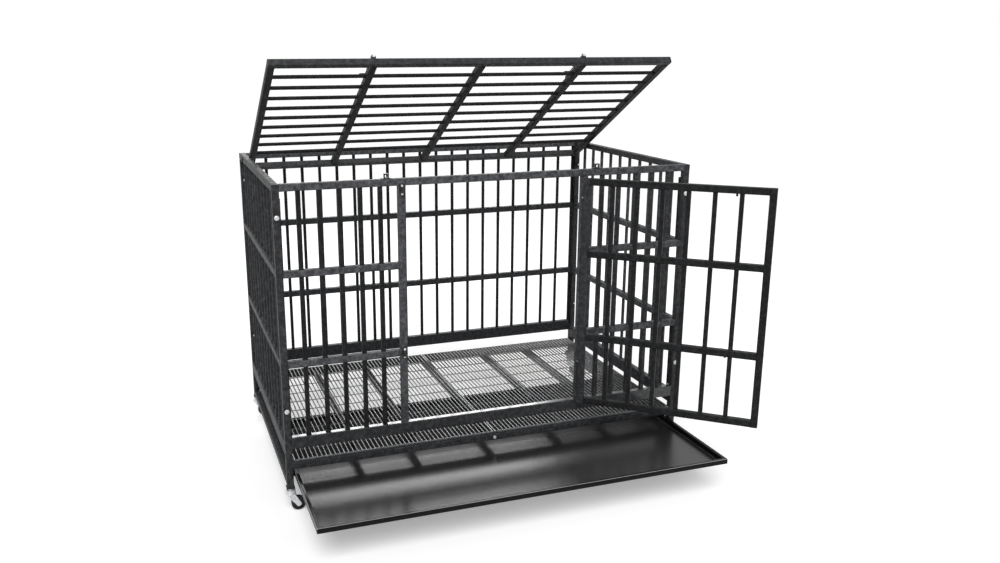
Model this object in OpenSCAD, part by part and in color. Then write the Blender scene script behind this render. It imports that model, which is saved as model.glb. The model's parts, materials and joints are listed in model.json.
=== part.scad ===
// Heavy duty dog crate: knock-down panels of square tube, hinged lid and door, pull-out tray, four casters.
// The model stands as it is shown in use: lid raised, door swung open, tray drawn out.
// Origin on the floor under the middle of the crate, X to the right, Y to the rear, Z up, millimetres.

/* [Crate] */
// Outside length of the frame, left to right
crate_l = 1220; // [1100:10:1400]
// Outside width of the frame, front to rear
crate_w = 740; // [660:10:900]
// Height of the frame, from the ends of the posts to the top rails
frame_h = 838; // [780:2:920]

/* [Tubes] */
// Side of the square frame tube
tube = 19; // [17:0.5:22]
// Wall of the frame tube
tube_wall = 1.2; // [1:0.1:2]
// Side of the square bars beside the doorway and in the door
bar = 12; // [9:0.1:15]
// Upright bars beside the doorway, each side
front_bars = 5; // [4:1:6]
// Diameter of the round rods in the side panels, the rear panel and the lid
rod_d = 10.5; // [7:0.1:13]
// Upright rods in each side panel
side_rods = 10; // [8:1:12]
// Upright rods in the rear panel, between its two end rods
rear_rods = 19; // [15:1:21]

/* [Rail levels above the ends of the posts] */
// Underside of the low rails of the side panels
low_rail = 4; // [2:1:8]
// Underside of the lower front and rear rails, which carry the floor
lower_rail = 52; // [48:1:60]
// Level of the side sills, one tube under the foot of the front bars
bottom_rail = 127; // [115:1:140]
// Height of the tall bottom rails of the side and rear panels
sill_h = 38; // [25:1:44]
// Height of the front bottom rail, measured down from its top
front_sill_h = 33; // [19:0.5:38]
// Underside of the lower mid rails
mid_rail_1 = 344; // [300:1:380]
// Underside of the upper mid rails
mid_rail_2 = 592; // [540:1:640]

/* [Door] */
// Clear width of the doorway
doorway_w = 520; // [440:5:560]
// Clearance all round the closed door
door_gap = 1.5; // [1:0.1:3]
// Upright bars in the door
door_bars = 6; // [5:1:7]
// Gap between the latch stile and the first bar
latch_side_gap = 63; // [50:1:80]
// How far the door stands open
door_open = 138.8; // [90:0.1:170]

/* [Door hinges] */
// Diameter of the hinge barrels
barrel_d = 13; // [11:0.5:15]
// Diameter of the hinge pins
hinge_pin_d = 6; // [5:0.1:7]
// Distance from the post's face to the hinge line
hinge_rise = 7; // [7:0.1:9]
// Distance from the edge of the doorway to the hinge line
hinge_side = 2.4; // [1:0.1:6]
// Length of one knuckle
knuckle_h = 30; // [20:1:40]
// Thickness of the hinge leaves
leaf_t = 3; // [2:0.1:4]
// Distance of the hinges from the ends of the door
hinge_inset = 90; // [60:5:150]

/* [Lid] */
// Clearance all round the closed lid
lid_gap = 2; // [1.5:0.1:4]
// Distance from the rear top rail to the pivot line
pivot_inset = 75; // [60:1:100]
// Diameter of the pivot bolts
pivot_d = 8; // [6:0.1:10]
// Distance of the outer crossbars, with the latches on them, from the middle
lid_crossbar_x = 309; // [220:1:400]
// Rods along the lid, from the front rail to just ahead of the pivot line
lid_rods_n = 9; // [6:1:11]
// Distance from the pivot line to the last rod
rod_clear = 46; // [30:1:80]
// How deep the rods sit in the end rails
rod_seat = 8; // [5:0.5:12]
// How far the lid stands open
lid_open = 29.5; // [10:0.5:100]

/* [Barrel bolts] */
// Diameter of the sliding bolts
bolt_d = 8; // [6:0.1:9]
// Distance from the mounting face to the line of the bolt
bolt_rise = 7.5; // [7:0.1:9]
// Travel of the bolts
bolt_travel = 25; // [22:0.5:27]
// Thickness of base plates and keeper plates
plate_t = 2; // [1.5:0.1:3]
// Width of base plates and keeper plates
plate_w = 16; // [14:0.5:17]
// Length of the base plate
plate_l = 116; // [112:1:130]
// Length of one guide loop along the bolt
loop_l = 9; // [7:0.5:10]
// Wall of the guide loops around the bolt
loop_wall = 2.5; // [2:0.1:3]
// Diameter of the bolt's handle
handle_d = 6; // [5:0.1:7]
// Reach of the handle from the line of the bolt
handle_l = 20; // [16:1:26]
// Distance of the small screws from the middle of a door keeper
keeper_screw_at = 11; // [10.5:0.1:13]

/* [Floor and tray] */
// Place of the inner side beams under the floor, as a share of the half length
inner_beam_at = 0.38; // [0.3:0.01:0.45]
// Place of the outer side beams under the floor, as a share of the half length
outer_beam_at = 0.67; // [0.6:0.01:0.8]
// Diameter of the pegs at the ends of the side beams
peg_d = 8; // [6:0.5:10]
// Length of the pegs
peg_l = 12; // [8:0.5:14]
// Spacing of the close wires of the floor grates
wire_pitch = 12.5; // [10:0.5:20]
// Spacing of the cross wires of the floor grates
cross_pitch = 72; // [40:1:80]
// Thickness of the close wires of the floor grates
close_wire = 4.6; // [3:0.1:6]
// Thickness of the cross wires of the floor grates
cross_wire = 3.2; // [2.5:0.1:4]
// Width of the border of a grate
grate_border = 6; // [4:0.5:10]
// Clearance between the grates and what stands round them
grate_gap = 2; // [1:0.5:4]
// Depth of the tray, front to rear
tray_depth = 710; // [600:5:714]
// Height of the tray
tray_h = 18.5; // [14:0.5:20]
// Thickness of the tray's sheet
sheet_t = 1.5; // [1:0.1:2]
// Width of the tray's folded rim
tray_rim = 9; // [7:0.5:12]
// Clearance between the tray and each runner
tray_gap = 1.8; // [1:0.1:4]
// Sliding clearance under the tray
slide_gap = 0.3; // [0.2:0.05:0.5]
// How far the tray is drawn out
tray_out = 320; // [0:5:350]
// Width of the runner angles
runner_w = 20; // [18:0.5:30]
// Thickness of the runner angles
runner_t = 2.2; // [1.5:0.1:3]

/* [Panel bolts] */
// Diameter of the panel bolts
screw_d = 6; // [5:0.1:8]
// Diameter of the bolt heads
screw_head_d = 13; // [11:0.5:15]
// Diameter of the heads of the beam bolts
beam_head_d = 9; // [8:0.5:14]
// Height of the bolt heads
screw_head_h = 4; // [3:0.1:5]
// Width across the corners of the nuts
nut_d = 11.5; // [10:0.5:13]
// Height of the nuts
nut_h = 5; // [4:0.1:6]
// Thickness of the strips that the panel bolts hold
strip_t = 3; // [2:0.1:4]
// Place of the upper panel bolts between the upper mid rails and the top rails, as a share
upper_bolt_at = 0.68; // [0.3:0.01:0.75]
// Place of the middle panel bolts between the bottom rail and the lower mid rails, as a share
middle_bolt_at = 0.39; // [0.3:0.01:0.75]

/* [Casters] */
// Diameter of the wheels
wheel_d = 40; // [32:1:50]
// Width of the wheels
wheel_w = 16; // [12:0.5:20]
// Distance of the axle from the swivel line
caster_trail = 20; // [14:0.5:24]
// Diameter of the caster stems
stem_d = 8; // [6:0.1:9]
// Diameter of the axles
axle_d = 6; // [5:0.1:7]
// Diameter of the fork's crown and raceway
crown_d = 28; // [26:0.5:32]
// Height of the fork's crown
crown_h = 6; // [4:0.5:8]
// Thickness of the fork's legs
leg_t = 2; // [1.5:0.1:3]
// Height of the hexagon above the raceway
hex_h = 7; // [5:0.5:10]
// Side of the end cap's flange
cap_w = 23; // [22.5:0.5:26]
// Thickness of the end cap's flange
cap_t = 4; // [3:0.5:6]
// Depth of the end cap's plug in the post
plug_h = 24; // [15:1:26]

/* [Hidden] */
$fn = 48;

// Finishes
coat = "#3f4143";
zinc = "#c9ccce";
satin = "#2f3032";
mesh_grey = "#6b6d6f";
black_plastic = "#1c1c1d";
tray_black = "#242425";

// Fits
fit = 0.05;
run = 0.06;
loose = 0.3;
turn_gap = 0.4;

// Casters, stacked up from the floor to the ends of the posts
crown_clear = 10;
race_h = 4.6;
rivet_d = 13;
rivet_h = 3;
crown_z = wheel_d + crown_clear;
race_z = crown_z + crown_h + turn_gap;
hex_z = race_z + race_h;
post_z = hex_z + hex_h + cap_t;
leg_y = wheel_w / 2 + 1.5;
hub_gap = 0.3;
axle_head_d = axle_d + 3;
axle_head_h = 1.5;

// Frame
hx = crate_l / 2;
hy = crate_w / 2;
ix = hx - tube;
iy = hy - tube;
post_x = hx - tube / 2;
post_y = hy - tube / 2;
top_z = post_z + frame_h;
under_top = top_z - tube;
low_z = post_z + low_rail;
lower_z = post_z + lower_rail;
bottom_z = post_z + bottom_rail;
mid_z = [post_z + mid_rail_1, post_z + mid_rail_2];
bar_z = bottom_z + tube;
side_sill_z = bottom_z - sill_h;
rear_sill_z = bottom_z + (tube - sill_h) / 2;
bar_inset = (tube - bar) / 2;
end_gap = 1;
socket_w = tube - 2 * tube_wall;

// Panel bolts, and the strips behind the posts that they hold
upper_bolt_z = mid_z[1] + tube + upper_bolt_at * (under_top - mid_z[1] - tube);
middle_bolt_z = bar_z + middle_bolt_at * (mid_z[0] - bar_z);
foot_bolt_z = low_z + tube + 10;
bolt_levels = [upper_bolt_z, middle_bolt_z, foot_bolt_z];
strip_edge = 3;
strip_lap = 4;
strip_overlap = 10;
notch_gap = 1;
screw_end = 3;

// Door, drawn closed and then swung about the hinge line
dx = doorway_w / 2;
door_x = dx - door_gap;
door_z0 = bar_z + door_gap;
door_z1 = under_top - door_gap;
hinge_x = dx + hinge_side;
hinge_y = -hy - hinge_rise;
hinge_levels = [door_z0 + hinge_inset, door_z1 - hinge_inset];
leaf_gap = 0.6;
leaf_edge = 1;
door_latch_z = [mid_z[0] + tube / 2, door_z1 - tube / 2];

// Lid, drawn closed and then raised about the pivot line
lid_x = ix - lid_gap;
lid_y = iy - lid_gap;
pivot_y = iy - pivot_inset;
pivot_z = top_z - tube / 2;
pivot_head_d = 14;
pivot_head_h = 4;

// Barrel bolts, along +X from the tip, with the mounting face at Z = 0
tip_back = 4;
handle_gap = 3;
loop_inset = 2;
last_loop = plate_l - loop_inset - loop_l;
handle_at = last_loop - handle_gap - handle_d / 2;
middle_loop = handle_at - handle_d / 2 - bolt_travel - handle_gap - loop_l;
loop_at = [loop_inset, middle_loop, last_loop];
bolt_l = plate_l + 16;
loop_w = bolt_d + 2 * loop_wall;
loop_h = bolt_rise + bolt_d / 2 + loop_wall;
keeper_bore = bolt_d / 2 + 0.4;
keeper_l = 26;

// Floor and tray
grate_z = lower_z + tube;
beam_xs = [inner_beam_at * ix, outer_beam_at * ix];
grate_x = ix - grate_gap;
grate_y = hy - grate_gap;
runner_z = low_z + tube;
runner_y = iy - 5;
runner_stop_h = 12;
stop_gap = 1;
tray_x = ix - runner_t - tray_gap;
tray_z = runner_z + slide_gap;
tray_y = -hy - tray_out;
skirt_rise = 4;

// Lower corner of bar i of n, w wide, set with equal gaps between a and b
function bar_at(a, b, n, i, w = bar) = a + (i + 1) * (b - a - n * w) / (n + 1) + i * w;

// Upright bars of a panel that runs along X
module bars_x(a, b, n, y, z0, z1) {
    for (i = [0 : n - 1])
        translate([bar_at(a, b, n, i), y + bar_inset, z0]) cube([bar, bar, z1 - z0]);
}

// Frame tubes by their two ends, along X, along Y and upright
module tube_x(a, b, y, z, h = tube) {
    translate([a, y, z]) cube([b - a, tube, h]);
}

module tube_y(a, b, x, z, h = tube) {
    translate([x, a, z]) cube([tube, b - a, h]);
}

module tube_z(x, y, a, b) {
    translate([x, y, a]) cube([tube, tube, b - a]);
}

// Round rod from the bottom rail to the top rail of a panel
module upright_rod(x, y) {
    translate([x, y, bottom_z]) cylinder(d = rod_d, h = under_top + 1 - bottom_z);
}

// Round pins and bores along X and Y
module pin_x(d, a, b) {
    translate([a, 0, 0]) rotate([0, 90, 0]) cylinder(d = d, h = b - a);
}

module pin_y(d, a, b) {
    translate([0, a, 0]) rotate([-90, 0, 0]) cylinder(d = d, h = b - a);
}

// Copies at the four posts
module at_posts() {
    for (sx = [-1, 1], sy = [-1, 1]) translate([sx * post_x, sy * post_y, 0]) children();
}

// The left side panel; the right one is its mirror image
module side_panel() {
    difference() {
        union() {
            for (y = [-hy, iy]) tube_z(-hx, y, post_z, top_z);
            for (z = concat([low_z, under_top], mid_z)) tube_y(-hy, hy, -hx, z);
            tube_y(-hy, hy, -hx, side_sill_z, sill_h);
            for (i = [0 : side_rods - 1])
                upright_rod(-post_x, bar_at(-iy, iy, side_rods, i, rod_d) + rod_d / 2);
        }
        for (y = [-post_y, post_y]) {
            translate([-post_x - socket_w / 2, y - socket_w / 2, post_z - 1])
                cube([socket_w, socket_w, plug_h + 1]);
            for (z = bolt_levels)
                translate([-post_x, y, z]) pin_y(screw_d + 2 * loose, -tube, tube);
        }
        translate([0, pivot_y, pivot_z]) pin_x(pivot_d + 2 * fit, -hx - 1, -ix + 1);
    }
}

module left_side_panel() {
    color(coat) side_panel();
}

module right_side_panel() {
    color(coat) mirror([1, 0, 0]) side_panel();
}

// Flat strip behind the left front post from z0 to z1, clear of the side rails and the lid.
// Its narrow edge laps behind the rails of its own panel, from lap0 to lap1
module corner_strip(z0, z1, lap0, lap1, bolt_z) {
    difference() {
        union() {
            translate([-hx + strip_edge, -iy, z0 + notch_gap])
                cube([tube - strip_edge + strip_lap, strip_t, z1 - z0 - 2 * notch_gap]);
            translate([-ix + notch_gap / 2, -iy, lap0])
                cube([strip_lap - notch_gap / 2, strip_t, lap1 - lap0]);
        }
        translate([-post_x, -iy, bolt_z]) pin_y(screw_d + 2 * loose, -1, strip_t + 1);
    }
}

module corner_strips() {
    mid_top = mid_z[1] + tube;
    strip_top = under_top - tube;
    corner_strip(mid_top, strip_top, mid_top - strip_overlap, strip_top - notch_gap, upper_bolt_z);
    corner_strip(bar_z, mid_z[0], bar_z - strip_overlap, mid_z[0] + strip_overlap, middle_bolt_z);
}

module rear_panel() {
    color(coat) {
        end_x = ix - end_gap - rod_d;
        between = [for (i = [0 : rear_rods - 1]) bar_at(-end_x, end_x, rear_rods, i, rod_d)];
        for (z = concat([under_top], mid_z)) tube_x(-ix, ix, iy, z);
        tube_x(-ix, ix, iy, rear_sill_z, sill_h);
        for (x = concat([-end_x - rod_d, end_x], between)) upright_rod(x + rod_d / 2, post_y);
        for (a = [0, 1]) mirror([a, 0, 0]) mirror([0, 1, 0]) corner_strips();
    }
}

module front_top_rail() {
    color(coat) tube_x(-ix, ix, -hy, under_top);
}

module front_bottom_rail() {
    color(coat) tube_x(-ix, ix, -hy, bar_z - front_sill_h, front_sill_h);
}

// Bars, mid rails and door post at the left of the doorway
module front_grille() {
    tube_z(-dx - tube, -hy, bar_z, under_top);
    for (z = mid_z) tube_x(-ix, -dx, -hy, z);
    bars_x(-ix, -dx - tube, front_bars, -hy, bar_z, under_top);
    corner_strips();
}

module front_left_grille() {
    color(coat) front_grille();
}

module front_right_grille() {
    color(coat) mirror([1, 0, 0]) front_grille();
}

// Rail that carries the floor, with a bolted tab behind each post
module lower_rail_bar() {
    difference() {
        union() {
            tube_x(-ix, ix, -hy, lower_z);
            for (a = [0, 1]) mirror([a, 0, 0]) {
                translate([-hx + strip_edge, -iy, low_z + tube + notch_gap])
                    cube([tube - strip_edge, strip_t, lower_z - low_z - notch_gap]);
                translate([-ix, -iy, lower_z]) cube([strip_lap, strip_t, tube]);
            }
        }
        for (x = [-post_x, post_x])
            translate([x, -iy, foot_bolt_z]) pin_y(screw_d + 2 * loose, -1, strip_t + 1);
        translate([0, -hy, lower_z + tube / 2]) pin_y(screw_d + 2 * loose, -1, tube + 1);
        for (x = beam_xs, side = [-1, 1])
            translate([side * x, -iy, lower_z + tube / 2]) pin_y(peg_d + 2 * fit, -peg_l - notch_gap, 1);
    }
}

module front_lower_rail() {
    color(coat) lower_rail_bar();
}

module rear_lower_rail() {
    color(coat) mirror([0, 1, 0]) lower_rail_bar();
}

// Beam under the joint of the two floor grates, tapped at both ends
module floor_beam() {
    color(coat) difference() {
        tube_y(-iy, iy, -tube / 2, lower_z);
        for (a = [-iy, iy])
            translate([0, a, lower_z + tube / 2]) pin_y(screw_d + 2 * fit, -tube, tube);
    }
}

// Beams under the middles of the grates, with pegs that stand in the lower rails
module side_floor_beams() {
    color(coat) for (a = [0, 1], x = beam_xs) mirror([a, 0, 0]) {
        tube_y(-iy, iy, x - tube / 2, lower_z);
        translate([x, 0, lower_z + tube / 2]) pin_y(peg_d, -iy - peg_l, iy + peg_l);
    }
}

// One layer of a floor grate: a border w by d with parallel wires along Y
module wire_layer(w, d, pitch, wire) {
    clear = w - 2 * grate_border;
    n = round((clear + wire) / pitch);
    step = (clear + wire) / n;
    linear_extrude(wire) difference() {
        square([w, d]);
        for (i = [0 : n - 1])
            translate([grate_border + i * step, grate_border]) square([step - wire, d - 2 * grate_border]);
    }
}

// Welded wire grate: close wires along Y on top of spaced cross wires
module floor_grate() {
    w = grate_x - grate_gap / 2;
    d = 2 * grate_y;
    translate([-grate_x, grate_y, grate_z]) rotate([0, 0, -90])
        wire_layer(d, w, cross_pitch, cross_wire);
    translate([-grate_x, -grate_y, grate_z + cross_wire]) wire_layer(w, d, wire_pitch, close_wire);
}

module left_floor_grate() {
    color(mesh_grey) floor_grate();
}

module right_floor_grate() {
    color(mesh_grey) mirror([1, 0, 0]) floor_grate();
}

// Angle on the left low rail, from its front end to a turned-up stop behind the tray.
// Its tall leg closes the side below the floor and guides the tray
module tray_runner() {
    stop_y = -hy + tray_depth + stop_gap;
    length = stop_y + runner_t + runner_y;
    translate([-ix, -runner_y, low_z]) cube([runner_t, length, grate_z - notch_gap - low_z]);
    translate([-ix, -runner_y, runner_z - runner_t]) cube([runner_w, length, runner_t]);
    translate([-ix, stop_y, runner_z - runner_t]) cube([runner_w, runner_t, runner_stop_h + runner_t]);
}

module left_tray_runner() {
    color(coat) tray_runner();
}

module right_tray_runner() {
    color(coat) mirror([1, 0, 0]) tray_runner();
}

module post_end_caps() {
    plug_w = socket_w - 2 * fit;
    color(black_plastic) at_posts() difference() {
        union() {
            translate([-cap_w / 2, -cap_w / 2, post_z - cap_t]) cube([cap_w, cap_w, cap_t]);
            translate([-plug_w / 2, -plug_w / 2, post_z - cap_t]) cube([plug_w, plug_w, plug_h + cap_t]);
        }
        translate([0, 0, post_z - cap_t - 1]) cylinder(d = stem_d + 2 * fit, h = plug_h + cap_t + 2);
    }
}

// Domed bolt through a front post, with its head on the post's face at Y = 0
module panel_bolt() {
    rotate([90, 0, 0]) {
        rotate_extrude() intersection() {
            translate([0, screw_head_h - screw_head_d]) circle(d = 2 * screw_head_d, $fn = 96);
            square([screw_head_d / 2, screw_head_h]);
        }
        translate([0, 0, -tube - strip_t - nut_h - screw_end])
            cylinder(d = screw_d, h = tube + strip_t + nut_h + screw_end);
    }
}

// Copies at the panel bolts of the four posts, at the levels given, facing outwards
module at_panel_bolts(levels) {
    for (a = [0, 1], b = [0, 1], z = levels)
        mirror([a, 0, 0]) mirror([0, b, 0]) translate([-post_x, -hy, z]) children();
}

module panel_bolts() {
    color(zinc) at_panel_bolts([upper_bolt_z, middle_bolt_z]) panel_bolt();
}

module foot_bolts() {
    color(satin) at_panel_bolts([foot_bolt_z]) panel_bolt();
}

module panel_nuts() {
    color(satin) at_panel_bolts(bolt_levels) difference() {
        translate([0, tube + strip_t, 0]) rotate([-90, 0, 0]) cylinder(d = nut_d, h = nut_h, $fn = 6);
        pin_y(screw_d + 2 * fit, tube, tube + strip_t + nut_h + 1);
    }
}

module beam_bolts() {
    color(zinc) for (b = [0, 1]) mirror([0, b, 0])
        translate([0, -hy, lower_z + tube / 2]) rotate([90, 0, 0]) {
            cylinder(d = beam_head_d, h = screw_head_h);
            translate([0, 0, -2 * tube + screw_end]) cylinder(d = screw_d, h = 2 * tube - screw_end);
        }
}

// Shoulder bolts that the lid turns on, through the side top rails
module lid_pivot_bolts() {
    color(satin) for (a = [0, 1]) mirror([a, 0, 0]) translate([0, pivot_y, pivot_z]) {
        pin_x(pivot_head_d, -hx - pivot_head_h, -hx);
        pin_x(pivot_d, -hx, -lid_x + tube - tube_wall);
    }
}

module lid_pivot_washers() {
    color(zinc) for (a = [0, 1]) mirror([a, 0, 0]) translate([0, pivot_y, pivot_z]) difference() {
        pin_x(pivot_head_d, -ix, -lid_x - loose / 2);
        pin_x(pivot_d + 2 * fit, -ix - 1, -lid_x + 1);
    }
}

// Base plate and guide loops of a barrel bolt
module bolt_housing() {
    difference() {
        union() {
            translate([0, -plate_w / 2, 0]) cube([plate_l, plate_w, plate_t]);
            for (x = loop_at) translate([x, -loop_w / 2, 0]) cube([loop_l, loop_w, loop_h]);
        }
        translate([0, 0, bolt_rise]) pin_x(bolt_d + 2 * run, -1, plate_l + 1);
    }
}

// Sliding bolt with its handle turned along +Y
module sliding_bolt() {
    translate([0, 0, bolt_rise]) {
        pin_x(bolt_d, -tip_back, bolt_l);
        translate([handle_at, 0, 0]) pin_y(handle_d, 0, handle_l);
    }
}

// Loop that takes the end of a bolt, centred on its own middle
module keeper_loop() {
    difference() {
        translate([-loop_l / 2, -loop_w / 2, 0]) cube([loop_l, loop_w, loop_h]);
        translate([0, 0, bolt_rise]) pin_x(2 * keeper_bore, -loop_l, loop_l);
    }
}

// From the barrel bolt's own axes to the lid's top face: the tip points to the front
module on_lid_top(x) {
    translate([x, -lid_y + tip_back, top_z]) rotate([0, 0, 90]) children();
}

module lid_keepers() {
    color(satin) for (x = [-lid_crossbar_x, lid_crossbar_x])
        translate([x, -post_y, top_z]) rotate([0, 0, 90]) difference() {
            union() {
                translate([-plate_w / 2, -keeper_l / 2, 0]) cube([plate_w, keeper_l, plate_t]);
                keeper_loop();
            }
            translate([0, 0, bolt_rise]) pin_x(2 * keeper_bore, -plate_w, plate_w);
        }
}

// From the barrel bolt's own axes to the closed door's outer face: the tip points to the left
module on_door_face(z) {
    translate([-door_x + tip_back, -hy, z]) rotate([90, 0, 0]) mirror([0, 1, 0]) children();
}

module door_keepers() {
    color(satin) for (z = door_latch_z)
        translate([-dx - tube / 2, -hy, z]) rotate([90, 0, 0]) difference() {
            union() {
                translate([-plate_w / 2, -keeper_l / 2 - 3, 0]) cube([plate_w, keeper_l + 6, plate_t]);
                keeper_loop();
            }
            translate([0, 0, bolt_rise]) pin_x(2 * keeper_bore, -plate_w, plate_w);
            for (s = [-1, 1]) translate([0, s * keeper_screw_at, -1]) cylinder(d = 4.2, h = plate_t + 2);
        }
}

module keeper_screws() {
    color(zinc) for (z = door_latch_z, s = [-1, 1])
        translate([-dx - tube / 2, -hy, z + s * keeper_screw_at]) rotate([90, 0, 0]) {
            cylinder(d = 4, h = plate_t);
            translate([0, 0, plate_t]) cylinder(d = 6.5, h = 2);
        }
}

module hinge_bore(z0, z1, clearance) {
    translate([hinge_x, hinge_y, z0 - 1]) cylinder(d = hinge_pin_d + 2 * clearance, h = z1 - z0 + 2);
}

// Lower half of each hinge, on the right door post
module hinge_post_knuckles() {
    color(coat) for (z = hinge_levels) difference() {
        union() {
            translate([hinge_x, hinge_y, z - knuckle_h]) cylinder(d = barrel_d, h = knuckle_h);
            translate([dx + leaf_edge, -hy - leaf_t, z - knuckle_h])
                cube([tube - 2 * leaf_edge, leaf_t, knuckle_h]);
        }
        hinge_bore(z - knuckle_h, z, fit);
    }
}

module hinge_pins() {
    color(zinc) for (z = hinge_levels) translate([hinge_x, hinge_y, 0]) {
        translate([0, 0, z - knuckle_h]) cylinder(d = hinge_pin_d, h = 2 * knuckle_h + 2 * turn_gap);
        translate([0, 0, z + knuckle_h + 2 * turn_gap]) cylinder(d = barrel_d - 3, h = 2);
    }
}

// Swings what is drawn on the closed door to where it stands open
module swung() {
    translate([hinge_x, hinge_y, 0]) rotate([0, 0, door_open]) translate([-hinge_x, -hinge_y, 0]) children();
}

module hinge_door_knuckles() {
    pad = door_x - tube + 3;
    color(coat) swung() for (z = hinge_levels) difference() {
        z0 = z + turn_gap;
        union() {
            translate([hinge_x, hinge_y, z0]) cylinder(d = barrel_d, h = knuckle_h);
            translate([pad, -hy - leaf_gap - leaf_t, z0]) cube([hinge_x - pad, leaf_t, knuckle_h]);
            translate([pad, -hy - leaf_gap - 1, z0]) cube([door_x - 1 - pad, leaf_gap + 1, knuckle_h]);
        }
        hinge_bore(z0, z0 + knuckle_h, run);
    }
}

module door_frame() {
    first = -door_x + tube + latch_side_gap;
    last = door_x - tube;
    color(coat) swung() {
        for (x = [-door_x, last]) tube_z(x, -hy, door_z0, door_z1);
        for (z = concat([door_z0, door_z1 - tube], mid_z)) tube_x(-door_x, door_x, -hy, z);
        translate([first, -hy + bar_inset, door_z0]) cube([bar, bar, door_z1 - door_z0]);
        bars_x(first + bar, last, door_bars - 1, -hy, door_z0, door_z1);
    }
}

module door_bolt_housings() {
    color(satin) swung() for (z = door_latch_z) on_door_face(z) bolt_housing();
}

module lower_door_bolt() {
    color(satin) swung() on_door_face(door_latch_z[0]) sliding_bolt();
}

module upper_door_bolt() {
    color(satin) swung() on_door_face(door_latch_z[1]) sliding_bolt();
}

// Raises what is drawn on the closed lid to where it stands open
module raised() {
    translate([0, pivot_y, pivot_z]) rotate([-lid_open, 0, 0]) translate([0, -pivot_y, -pivot_z]) children();
}

// Rods of the lid, evenly spaced from its front rail to the last one ahead of the pivot line
module at_lid_rods() {
    first = -lid_y + tube;
    step = (pivot_y - rod_clear - first) / lid_rods_n;
    for (i = [1 : lid_rods_n]) translate([0, first + i * step, pivot_z]) children();
}

module lid_frame() {
    rod_x = lid_x - tube + rod_seat;
    color(coat) raised() difference() {
        union() {
            for (y = [-lid_y, lid_y - tube]) tube_x(-lid_x, lid_x, y, under_top);
            for (x = [-lid_x, lid_x - tube]) tube_y(-lid_y, lid_y, x, under_top);
            for (x = [-lid_crossbar_x, 0, lid_crossbar_x]) tube_y(-lid_y, lid_y, x - tube / 2, under_top);
        }
        at_lid_rods() pin_x(rod_d + 2 * fit, -rod_x - fit, rod_x + fit);
        for (a = [0, 1]) mirror([a, 0, 0])
            translate([0, pivot_y, pivot_z]) pin_x(pivot_d + 2 * run, -lid_x - 1, -lid_x + tube);
    }
}

module lid_rods() {
    rod_x = lid_x - tube + rod_seat;
    color(coat) raised() at_lid_rods() pin_x(rod_d, -rod_x, rod_x);
}

module lid_bolt_housings() {
    color(satin) raised() for (x = [-lid_crossbar_x, lid_crossbar_x]) on_lid_top(x) bolt_housing();
}

module left_lid_bolt() {
    color(satin) raised() on_lid_top(-lid_crossbar_x) sliding_bolt();
}

module right_lid_bolt() {
    color(satin) raised() on_lid_top(lid_crossbar_x) sliding_bolt();
}

// Shallow pan with its rim folded out and down
module tray() {
    depth_in = tray_depth - 2 * tray_rim;
    color(tray_black) translate([0, tray_y, tray_z]) difference() {
        union() {
            translate([-tray_x, 0, skirt_rise]) cube([2 * tray_x, tray_depth, tray_h - skirt_rise]);
            translate([-tray_x + tray_rim, tray_rim, 0]) cube([2 * (tray_x - tray_rim), depth_in, tray_h]);
        }
        difference() {
            translate([-tray_x + sheet_t, sheet_t, skirt_rise - 1])
                cube([2 * (tray_x - sheet_t), tray_depth - 2 * sheet_t, tray_h - skirt_rise + 1 - sheet_t]);
            translate([-tray_x + tray_rim, tray_rim, 0]) cube([2 * (tray_x - tray_rim), depth_in, tray_h]);
        }
        translate([-tray_x + tray_rim + sheet_t, tray_rim + sheet_t, sheet_t])
            cube([2 * (tray_x - tray_rim - sheet_t), depth_in - 2 * sheet_t, tray_h]);
    }
}

// Stem with hexagon, raceway and riveted end, fixed in the post
module caster_stems() {
    color(zinc) at_posts() {
        translate([0, 0, crown_z - turn_gap - rivet_h]) cylinder(d = rivet_d, h = rivet_h);
        translate([0, 0, crown_z - turn_gap]) cylinder(d = stem_d, h = post_z + plug_h - crown_z + turn_gap);
        translate([0, 0, race_z]) cylinder(d = crown_d - 2, h = race_h);
        translate([0, 0, hex_z]) cylinder(d = 15, h = hex_h, $fn = 6);
    }
}

// Fork leg in outline: from the crown down to a round eye at the axle
module leg_outline() {
    eye = axle_d / 2 + 4;
    difference() {
        union() {
            translate([caster_trail, wheel_d / 2]) circle(r = eye);
            polygon([[-crown_d / 2 + 2, crown_z + 1], [crown_d / 2 - 4, crown_z + 1],
                [caster_trail + eye * 0.96, wheel_d / 2 + eye * 0.28],
                [caster_trail - eye * 0.8, wheel_d / 2 - eye * 0.6]]);
        }
        translate([caster_trail, wheel_d / 2]) circle(d = axle_d + 2 * fit);
    }
}

module caster_fork() {
    difference() {
        union() {
            translate([0, 0, crown_z]) cylinder(d = crown_d, h = crown_h);
            for (y = [-leg_y, leg_y + leg_t])
                translate([0, y, 0]) rotate([90, 0, 0]) linear_extrude(leg_t) leg_outline();
        }
        translate([0, 0, crown_z - 1]) cylinder(d = stem_d + 2 * run, h = crown_h + 2);
    }
}

// Wheel with a full-width tread, a thinner web and a hub
module caster_wheel() {
    hub_w = 2 * (leg_y - hub_gap);
    tread = 6;
    translate([caster_trail, 0, wheel_d / 2]) rotate([90, 0, 0]) rotate_extrude() difference() {
        union() {
            translate([wheel_d / 2 - tread, -wheel_w / 2]) square([tread, wheel_w]);
            translate([0, -wheel_w / 4]) square([wheel_d / 2 - 1, wheel_w / 2]);
            translate([0, -hub_w / 2]) square([axle_d / 2 + 3, hub_w]);
        }
        translate([-1, -hub_w]) square([axle_d / 2 + run + 1, 2 * hub_w]);
    }
}

module caster_axle() {
    reach = leg_y + leg_t;
    translate([caster_trail, 0, wheel_d / 2]) {
        pin_y(axle_d, -reach - axle_head_h, reach + axle_head_h);
        for (b = [0, 1]) mirror([0, b, 0]) pin_y(axle_head_d, reach, reach + axle_head_h);
    }
}

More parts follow.
